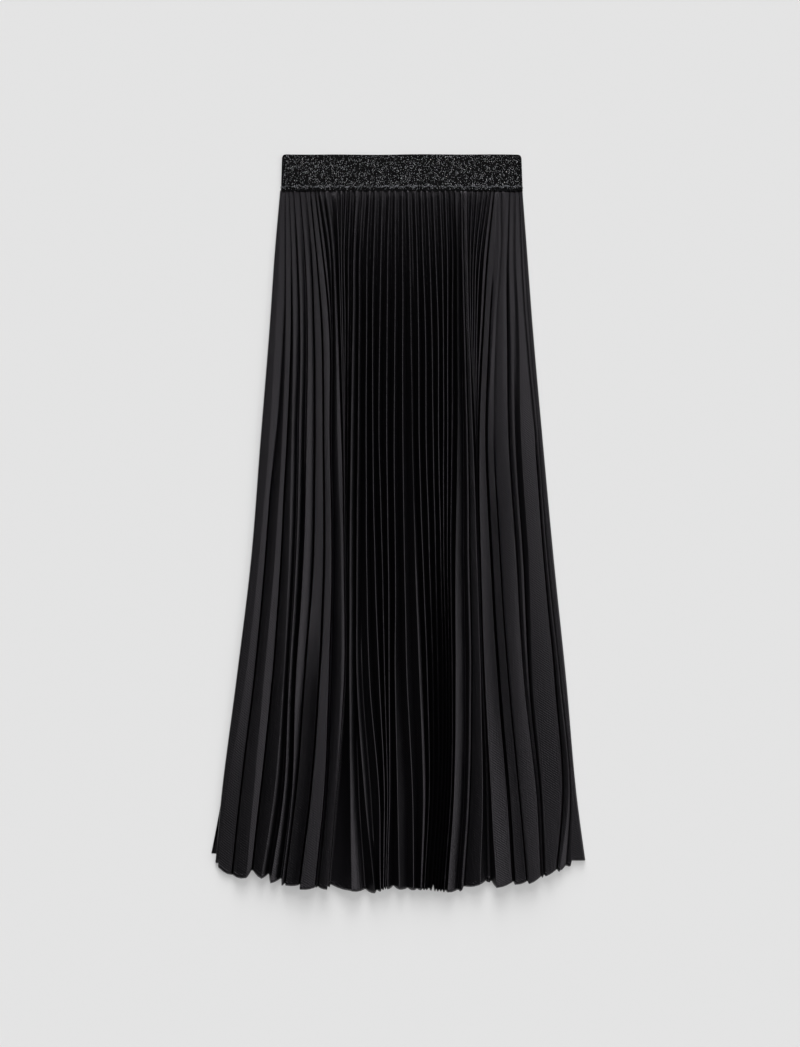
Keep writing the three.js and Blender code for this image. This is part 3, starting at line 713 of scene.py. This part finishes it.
CORNER_DROP, CORNER_FROM, CORNER_WIDTH = 0.35, 0.97, 0.03
LEFT_OUT, RIGHT_OUT = (0.9, -0.6), (1.7, 0.0)
SIDE_SINK, SINK_REACH, SINK_FROM, SINK_WIDTH = 0.9, 12, 0.7, 0.2
LIP_REACH, LIP_FRILL, LIP_WAVE_LENGTH = 3.2, 0.55, 6.3


def loop_path(inset, spacing):
    """The flattened loop seen from its edge: points (x, z) round it, inset from its outer face."""
    radius = BAND_DEPTH / 2
    ends = BAND_LEFT + radius, BAND_RIGHT - radius
    straight, turn = ends[1] - ends[0], math.pi * radius
    count = round(2 * (straight + turn) / spacing)
    path = []
    for step in range(count):
        at = step / count * 2 * (straight + turn)
        side, at = divmod(at, straight + turn)
        sign = 1 if side == 0 else -1
        angle = max(0, at - straight) / radius
        x = (ends[0] + min(at, straight) if side == 0 else ends[1] - min(at, straight))
        x += sign * (radius - inset) * math.sin(angle)
        path.append((x, radius - sign * (radius - inset) * math.cos(angle)))
    return path


def lay_elastic(points):
    """Bends the straight loop as it lies: a wavy top edge, soft corners, a frilled foot. Height in y."""
    x, height, z = points[:, 0].copy(), points[:, 1].copy(), points[:, 2].copy()
    wave = np.sin(x * 2 * math.pi / TOP_WAVE_LENGTH) * np.cos(x * 2 * math.pi / TOP_SWELL_LENGTH)
    middle, half = (BAND_LEFT + BAND_RIGHT) / 2, (BAND_RIGHT - BAND_LEFT) / 2
    outward = (x - middle) / half
    near_top = np.clip(1 - (BAND_HEIGHT - height) / CORNER_REACH, 0, 1)
    share = height / BAND_HEIGHT
    out = np.where(outward < 0, *[foot + (top - foot) * share for foot, top in (LEFT_OUT, RIGHT_OUT)])
    x -= np.abs(outward) ** 3 * np.sign(outward) * (CORNER_INSET * near_top**2 - out)
    near_side = np.clip((np.abs(outward) - SINK_FROM) / SINK_WIDTH, 0, 1)
    near_foot = np.clip(1 - height / SINK_REACH, 0, 1) * near_side
    z -= np.where(z > BAND_DEPTH / 2, SIDE_SINK, 0) * near_foot
    near_corner = np.clip((np.abs(outward) - CORNER_FROM) / CORNER_WIDTH, 0, 1)
    corner_drop = CORNER_REACH * CORNER_DROP * near_corner**2
    height += (TOP_WAVE * wave - corner_drop) * height / BAND_HEIGHT
    free = np.clip(1 - height / LIP_REACH, 0, 1)
    frill = np.sin(x * 2 * math.pi / LIP_WAVE_LENGTH)
    frill += 0.5 * np.sin(x * 2 * math.pi / (1.7 * LIP_WAVE_LENGTH))
    z += LIP_FRILL * free * frill * np.where(z > BAND_DEPTH / 2, 1, 0.1)
    return np.stack([x, BAND_FOOT + height, np.maximum(z, LEAST_HEIGHT)], axis=1)


def elastic_tube():
    """The knitted ground between the ribs: one closed wall round the loop, rounded at its top edge."""
    levels = [(height, 0) for height in GROUND_HEIGHTS]
    levels += [(BAND_HEIGHT - drop, ease) for drop, ease in TOP_ROUND]
    rings = []
    for height, ease in levels:
        rings.append([(x, height, z) for x, z in loop_path(RIB_DEPTH / 2 + ease, RING_STEP)])
    count = len(rings[0])
    for height, ease in reversed(levels):
        inner = loop_path(RIB_DEPTH / 2 + BAND_WALL - ease * 0.5, RING_STEP)
        if len(inner) != count:
            raise ValueError("the loop's rings differ")
        rings.append([(x, height - (TOP_SET_BACK if ease == TOP_ROUND[-1][1] else 0), z) for x, z in inner])
    points = np.array(rings).reshape(-1, 3)
    grid = np.arange(len(points)).reshape(len(rings), count)
    grid = np.concatenate([grid, grid[:1]])
    grid = np.concatenate([grid, grid[:, :1]], axis=1)
    quads = np.stack([grid[:-1, :-1], grid[1:, :-1], grid[1:, 1:], grid[:-1, 1:]], axis=2)
    return points, quads.reshape(-1, 4)[:, ::-1]


def plain_mesh(name, points, faces, material):
    mesh = bpy.data.meshes.new(name)
    mesh.from_pydata((points * MM).tolist(), [], faces.tolist())
    mesh.materials.append(material)
    mesh.shade_smooth()
    piece = bpy.data.objects.new(name, mesh)
    bpy.context.collection.objects.link(piece)
    return piece


# Rib knit: matt black yarn, with stitches too fine to count at this size, so the bump is drawn as one
# soft course for every two real ones. The metallised thread between the ribs shows as dark grey flecks.
COURSE_PITCH, COURSE_DEPTH = 1.5, 0.5
knit, tree = new_material("black_metallic_rib_knit")
place = add_node(tree, "ShaderNodeTexCoord")
courses = add_node(
    tree,
    "ShaderNodeMapping",
    {"Scale": (1 / (RIB_PITCH * MM), 1 / (COURSE_PITCH * MM), 1 / (RIB_PITCH * MM))},
    Vector=place.outputs["Object"],
)
loops = add_node(tree, "ShaderNodeTexVoronoi", {"Scale": 1.0, "Randomness": 0.7}, Vector=courses.outputs[0])
loop_bump = add_node(
    tree,
    "ShaderNodeBump",
    {"Strength": 0.7, "Distance": COURSE_DEPTH * MM, "invert": True},
    Height=loops.outputs["Distance"],
)
fleck = add_node(tree, "ShaderNodeSeparateColor", _0=loops.outputs["Color"])
fleck_amount = add_node(
    tree, "ShaderNodeMapRange", {"From Min": 0.35, "From Max": 1.0, "To Min": 0.0, "To Max": 1.0},
    Value=fleck.outputs[0],
)
yarn_colour = add_node(
    tree, "ShaderNodeMix", {"data_type": "RGBA", "A": linear("#030304"), "B": linear("#131315")},
    Factor=fleck_amount.outputs[0],
)
yarn = add_node(
    tree, "ShaderNodeBsdfPrincipled", {"Roughness": 0.8, "Specular IOR Level": 0.09},
    Base_Color=yarn_colour.outputs["Result"], Normal=loop_bump.outputs[0],
)
add_node(tree, "ShaderNodeOutputMaterial", Surface=yarn.outputs[0])

# Metallised thread: polyester film with a vacuum-laid silver face, slit into a flat thread. Each glint is
# one loop of it that comes to the surface.
metal_film, tree = new_material("silver_metallised_film")
place = add_node(tree, "ShaderNodeTexCoord")
film_noise = add_node(
    tree, "ShaderNodeTexNoise", {"Scale": 1 / (1.2 * MM), "Detail": 1}, Vector=place.outputs["Object"]
)
film_gloss = add_node(
    tree, "ShaderNodeMapRange", {"From Min": 0.3, "From Max": 0.7, "To Min": 0.26, "To Max": 0.42},
    Value=film_noise.outputs["Fac"],
)
film = add_node(
    tree,
    "ShaderNodeBsdfPrincipled",
    {"Base Color": linear("#C2C3C7"), "Metallic": 1.0},
    Roughness=film_gloss.outputs[0],
)
add_node(tree, "ShaderNodeOutputMaterial", Surface=film.outputs[0])

# Overlock thread: black core spun with the same film, so it shines in patches as it twists.
thread, tree = new_material("metallised_overlock_thread")
place = add_node(tree, "ShaderNodeTexCoord")
twist = add_node(
    tree, "ShaderNodeTexNoise", {"Scale": 1 / (2.4 * MM), "Detail": 2}, Vector=place.outputs["Object"]
)
film_share = add_node(
    tree, "ShaderNodeMapRange", {"From Min": 0.42, "From Max": 0.6, "To Min": 0.0, "To Max": 1.0},
    Value=twist.outputs["Fac"],
)
thread_colour = add_node(
    tree, "ShaderNodeMix", {"data_type": "RGBA", "A": linear("#0C0C0D"), "B": linear("#84858A")},
    Factor=film_share.outputs[0],
)
spun = add_node(
    tree, "ShaderNodeBsdfPrincipled", {"Metallic": 0.6, "Roughness": 0.5, "Specular IOR Level": 0.3},
    Base_Color=thread_colour.outputs["Result"],
)
add_node(tree, "ShaderNodeOutputMaterial", Surface=spun.outputs[0])

ground_points, ground_faces = elastic_tube()
elastic = plain_mesh("elastic_band", lay_elastic(ground_points), ground_faces, knit)


def new_tree(name, sizes):
    """A geometry tree with a source geometry and one named number for each size. Returns it and its ends."""
    tree = bpy.data.node_groups.new(name, "GeometryNodeTree")
    tree.interface.new_socket("Result", in_out="OUTPUT", socket_type="NodeSocketGeometry")
    tree.interface.new_socket("Source", in_out="INPUT", socket_type="NodeSocketGeometry")
    for size in sizes:
        kind = "NodeSocketInt" if isinstance(sizes[size], int) else "NodeSocketFloat"
        tree.interface.new_socket(size, in_out="INPUT", socket_type=kind)
    return tree, add_node(tree, "NodeGroupInput")


def close_tree(tree, instances, material):
    real = add_node(tree, "GeometryNodeRealizeInstances", _0=instances)
    smooth = add_node(tree, "GeometryNodeSetShadeSmooth", Geometry=real.outputs[0])
    finish = add_node(tree, "GeometryNodeSetMaterial", {"Material": material}, Geometry=smooth.outputs[0])
    add_node(tree, "NodeGroupOutput", _0=finish.outputs[0])


def grow(name, tree, sizes, points, edges, faces=()):
    """Runs a tree on a source of points in millimetres, and returns a plain mesh object in millimetres."""
    source = bpy.data.meshes.new(name + "_source")
    source.from_pydata([tuple(point) for point in points], edges, faces)
    holder = bpy.data.objects.new(name + "_source", source)
    bpy.context.collection.objects.link(holder)
    modifier = holder.modifiers.new(tree.name, "NODES")
    modifier.node_group = tree
    for socket in tree.interface.items_tree:
        if socket.name in sizes:
            modifier[socket.identifier] = sizes[socket.name]
    graph = bpy.context.evaluated_depsgraph_get()
    mesh = bpy.data.meshes.new_from_object(holder.evaluated_get(graph))
    bpy.data.objects.remove(holder)
    bpy.data.meshes.remove(source)
    mesh.name = name
    piece = bpy.data.objects.new(name, mesh)
    bpy.context.collection.objects.link(piece)
    return piece


def ring_edges(count):
    return [(index, (index + 1) % count) for index in range(count)]


def reshape(piece, change):
    """Passes a piece's points, in millimetres, through a function and stores them in metres."""
    flat = np.empty(3 * len(piece.data.vertices))
    piece.data.vertices.foreach_get("co", flat)
    piece.data.vertices.foreach_set("co", (change(flat.reshape(-1, 3)) * MM).reshape(-1))
    piece.data.update()


RIB_INSET = 0.15
rib_path = loop_path(RIB_DEPTH / 2, RING_STEP)
rib_sizes = {
    "Ribs": round(len(rib_path) * RING_STEP / RIB_PITCH),
    "Rib Width": RIB_WIDTH,
    "Rib Depth": RIB_DEPTH,
    "Rib Height": BAND_HEIGHT - 2 * RIB_INSET,
}
tree, sizes = new_tree("knitted_ribs", rib_sizes)
loop_curve = add_node(tree, "GeometryNodeMeshToCurve", _0=sizes.outputs["Source"])
rib_places = add_node(
    tree, "GeometryNodeResampleCurve", Curve=loop_curve.outputs[0], Count=sizes.outputs["Ribs"]
)
rib_top = add_node(tree, "ShaderNodeCombineXYZ", Y=sizes.outputs["Rib Height"])
rib_line = add_node(tree, "GeometryNodeCurvePrimitiveLine", End=rib_top.outputs[0])
rib_levels = add_node(tree, "GeometryNodeResampleCurve", {"Count": RIB_LEVELS}, Curve=rib_line.outputs[0])
rib_profile = add_node(tree, "GeometryNodeCurvePrimitiveCircle", {"Resolution": RIB_SIDES, "Radius": 0.5})
rib_tube = add_node(
    tree,
    "GeometryNodeCurveToMesh",
    {"Fill Caps": True},
    Curve=rib_levels.outputs[0],
    Profile_Curve=rib_profile.outputs[0],
)
rib_scale = add_node(
    tree, "ShaderNodeCombineXYZ", {"Y": 1.0}, X=sizes.outputs["Rib Width"], Z=sizes.outputs["Rib Depth"]
)
rib = add_node(tree, "GeometryNodeTransform", Geometry=rib_tube.outputs[0], Scale=rib_scale.outputs[0])
rib_way = add_node(tree, "GeometryNodeInputTangent")
rib_turn = add_node(
    tree, "FunctionNodeAlignRotationToVector", {"axis": "X", "pivot_axis": "Y"}, Vector=rib_way.outputs[0]
)
rib_copies = add_node(
    tree,
    "GeometryNodeInstanceOnPoints",
    Points=rib_places.outputs[0],
    Instance=rib.outputs[0],
    Rotation=rib_turn.outputs[0],
)
close_tree(tree, rib_copies.outputs[0], knit)
rib_points = [(x, RIB_INSET, z) for x, z in rib_path]
ribs = grow("knitted_ribs", tree, rib_sizes, rib_points, ring_edges(len(rib_path)))
reshape(ribs, lay_elastic)

# Glints of the metallised thread over the whole loop, each a short flat loop of film at its own slant. The
# real film is about 0.3 mm wide, and is drawn more than twice as wide so that it shows.
GLINTS_PER_MM2 = 0.2
GLINT_INSET, GLINT_STEP, GLINT_FOOT, GLINT_TOP = 0.1, 4.0, 2.2, 0.4
glint_sizes = {"Glints": GLINTS_PER_MM2, "Glint Length": 1.35, "Glint Width": 0.75, "Glint Thickness": 0.16}
tree, sizes = new_tree("film_glints", glint_sizes)
glint_places = add_node(
    tree,
    "GeometryNodeDistributePointsOnFaces",
    {"Seed": 7},
    Mesh=sizes.outputs["Source"],
    Density=sizes.outputs["Glints"],
)
glint_ball = add_node(tree, "GeometryNodeMeshUVSphere", {"Segments": 6, "Rings": 2, "Radius": 0.5})
glint_scale = add_node(
    tree,
    "ShaderNodeCombineXYZ",
    X=sizes.outputs["Glint Length"],
    Y=sizes.outputs["Glint Width"],
    Z=sizes.outputs["Glint Thickness"],
)
glint = add_node(tree, "GeometryNodeTransform", Geometry=glint_ball.outputs[0], Scale=glint_scale.outputs[0])
slant = add_node(
    tree,
    "FunctionNodeRandomValue",
    {"data_type": "FLOAT_VECTOR", "Min": (-0.6, -0.6, 0.2), "Max": (0.6, 0.6, 2.9), "Seed": 11},
)
slant_turn = add_node(tree, "FunctionNodeEulerToRotation", _0=slant.outputs["Value"])
glint_turn = add_node(
    tree,
    "FunctionNodeRotateRotation",
    {"rotation_space": "LOCAL"},
    Rotation=glint_places.outputs["Rotation"],
    Rotate_By=slant_turn.outputs[0],
)
glint_size = add_node(tree, "FunctionNodeRandomValue", {"data_type": "FLOAT", 2: 0.6, 3: 1.25, "Seed": 12})
glint_copies = add_node(
    tree,
    "GeometryNodeInstanceOnPoints",
    Points=glint_places.outputs["Points"],
    Instance=glint.outputs[0],
    Rotation=glint_turn.outputs[0],
    Scale=glint_size.outputs[1],
)
close_tree(tree, glint_copies.outputs[0], metal_film)
outer = loop_path(GLINT_INSET, GLINT_STEP)
count = len(outer)
glint_points = [(x, height, z) for height in (GLINT_FOOT, BAND_HEIGHT - GLINT_TOP) for x, z in outer]
glint_faces = [(i, (i + 1) % count, count + (i + 1) % count, count + i) for i in range(count)]
glints = grow("lurex_glints", tree, glint_sizes, glint_points, [], glint_faces)
reshape(glints, lay_elastic)

# Row of overlock stitches in metallised thread, drawn up into a small uneven roll along the foot of the band.
STITCH_HEIGHT, STITCH_LIFT, STITCH_WAVE, STITCH_WAVE_LENGTH = 6.2, 0.15, 1.0, 14.5
STITCH_SWAY, STITCH_SWAY_LENGTH = 0.8, 23
stitch_sizes = {"Stitches": 520, "Stitch Length": 3.0, "Thread": 0.42}
tree, sizes = new_tree("overlock_stitches", stitch_sizes)
seam_curve = add_node(tree, "GeometryNodeMeshToCurve", _0=sizes.outputs["Source"])
stitch_places = add_node(
    tree, "GeometryNodeResampleCurve", Curve=seam_curve.outputs[0], Count=sizes.outputs["Stitches"]
)
stitch_ends = []
for half in (-0.5, 0.5):
    reach = add_node(
        tree, "ShaderNodeMath", {"operation": "MULTIPLY", 1: half}, _0=sizes.outputs["Stitch Length"]
    )
    stitch_ends.append(add_node(tree, "ShaderNodeCombineXYZ", X=reach.outputs[0]).outputs[0])
stitch_line = add_node(
    tree, "GeometryNodeCurvePrimitiveLine", Start=stitch_ends[0], End=stitch_ends[1]
)
stitch_levels = add_node(tree, "GeometryNodeResampleCurve", {"Count": 5}, Curve=stitch_line.outputs[0])
thread_round = add_node(
    tree, "GeometryNodeCurvePrimitiveCircle", {"Resolution": 5}, Radius=sizes.outputs["Thread"]
)
stitch = add_node(
    tree,
    "GeometryNodeCurveToMesh",
    {"Fill Caps": True},
    Curve=stitch_levels.outputs[0],
    Profile_Curve=thread_round.outputs[0],
)
seam_way = add_node(tree, "GeometryNodeInputTangent")
stitch_turn = add_node(
    tree, "FunctionNodeAlignRotationToVector", {"axis": "X", "pivot_axis": "Y"}, Vector=seam_way.outputs[0]
)
lean = add_node(
    tree,
    "FunctionNodeRandomValue",
    {"data_type": "FLOAT_VECTOR", "Min": (-0.3, -0.25, 0.25), "Max": (0.3, 0.25, 1.2), "Seed": 21},
)
lean_turn = add_node(tree, "FunctionNodeEulerToRotation", _0=lean.outputs["Value"])
stitch_lean = add_node(
    tree,
    "FunctionNodeRotateRotation",
    {"rotation_space": "LOCAL"},
    Rotation=stitch_turn.outputs[0],
    Rotate_By=lean_turn.outputs[0],
)
stitch_copies = add_node(
    tree,
    "GeometryNodeInstanceOnPoints",
    Points=stitch_places.outputs[0],
    Instance=stitch.outputs[0],
    Rotation=stitch_lean.outputs[0],
)
close_tree(tree, stitch_copies.outputs[0], thread)
seam_path = loop_path(-STITCH_LIFT, RING_STEP)
draw = random.Random(5)
phase = [draw.uniform(0, FULL_TURN) for _ in range(2)]
seam_points = []
for x, z in seam_path:
    sway = STITCH_SWAY * math.sin(x / STITCH_SWAY_LENGTH + phase[1])
    wave = math.sin(x * 2 * math.pi / STITCH_WAVE_LENGTH + phase[0] + sway)
    seam_points.append((x, STITCH_HEIGHT + STITCH_WAVE * wave, z))
stitches = grow("overlock_stitches", tree, stitch_sizes, seam_points, ring_edges(len(seam_path)))
reshape(stitches, lay_elastic)

for piece in (elastic, ribs, glints, stitches):
    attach(piece, "root")
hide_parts("waistband")
